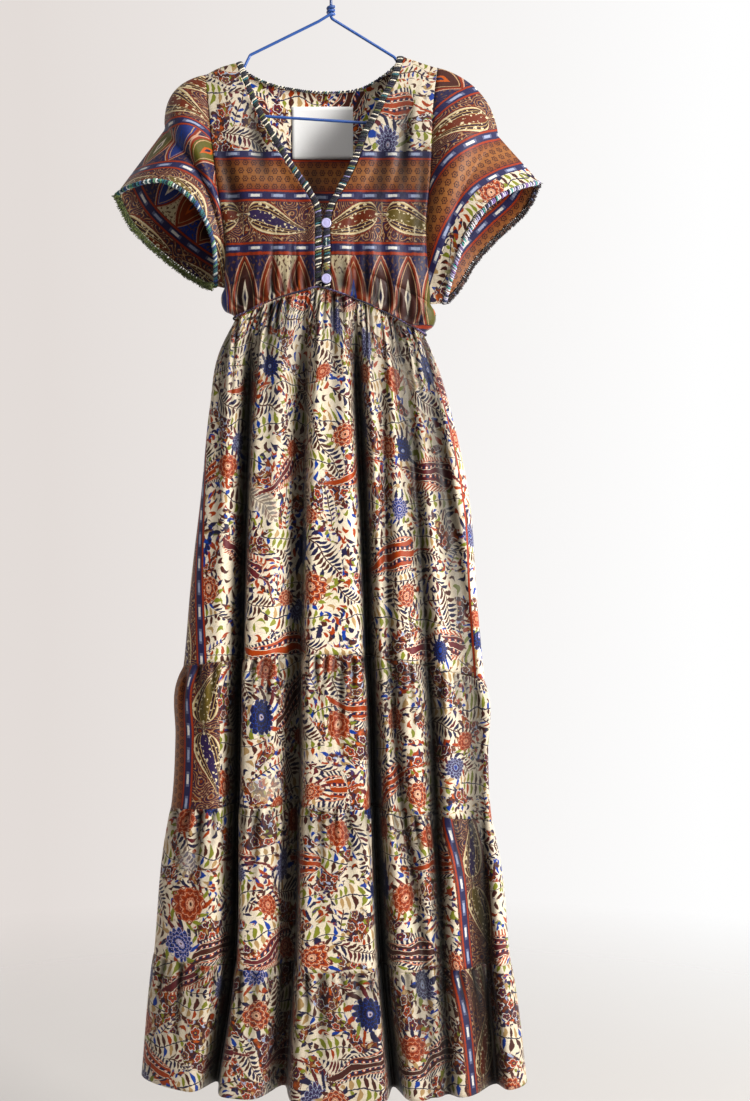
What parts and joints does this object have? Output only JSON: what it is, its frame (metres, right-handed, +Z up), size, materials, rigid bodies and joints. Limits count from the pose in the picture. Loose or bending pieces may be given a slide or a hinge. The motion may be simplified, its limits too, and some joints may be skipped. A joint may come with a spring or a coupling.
{
  "type": "maxi dress on a hanger",
  "caption": "Long printed dress with flutter sleeves, a buttoned V neck, a gathered waist and a tiered skirt, held by a wire hanger.",
  "frame": {"origin": "inner top of the hanger's hook, where a rail or a nail carries it", "axes": "+X to the right as seen from the front, +Y from the front of the dress to its back, +Z up; the front faces -Y"},
  "size_m": [0.5539, 0.1288, 1.4696],
  "materials": {
    "hanger_wire": "blue plastic-coated wire, satin",
    "print_bodice": "printed cotton-silk with border bands, soft sheen",
    "print_sleeve": "printed cotton-silk with border bands, soft sheen",
    "print_skirt": "printed cotton-silk, flowers and leaves on cream, soft sheen",
    "yarn_sleeve": "fuzzy mixed yarn edging",
    "yarn_neck": "dark whip-stitched yarn with pale flecks",
    "yarn_waist": "twisted thin cord, maroon, navy and rust",
    "button_lilac": "glossy lilac",
    "button_covered": "yarn-covered, dark with pale and green flecks",
    "label_cloth": "plain white woven cloth, blank"
  },
  "bodies": {
    "root": {"hanger": "hanger_wire", "bodice_front_left": "print_bodice", "bodice_front_right": "print_bodice", "bodice_back": "print_bodice", "sleeve_left": "print_sleeve", "sleeve_right": "print_sleeve", "sleeve_edging_left": "yarn_sleeve", "sleeve_edging_right": "yarn_sleeve", "neck_edging_left": "yarn_neck", "neck_edging_right": "yarn_neck", "neck_edging_back": "yarn_neck", "waist_cord": "yarn_waist", "button_1": "button_lilac", "button_2": "button_covered", "button_3": "button_covered", "button_4": "button_lilac", "label": "label_cloth", "tier_1_front": "print_skirt", "tier_1_back": "print_skirt", "tier_2_front": "print_skirt", "tier_2_back": "print_skirt", "tier_3_front": "print_skirt", "tier_3_back": "print_skirt", "tier_4_front": "print_skirt", "tier_4_back": "print_skirt"}
  },
  "joints": []
}
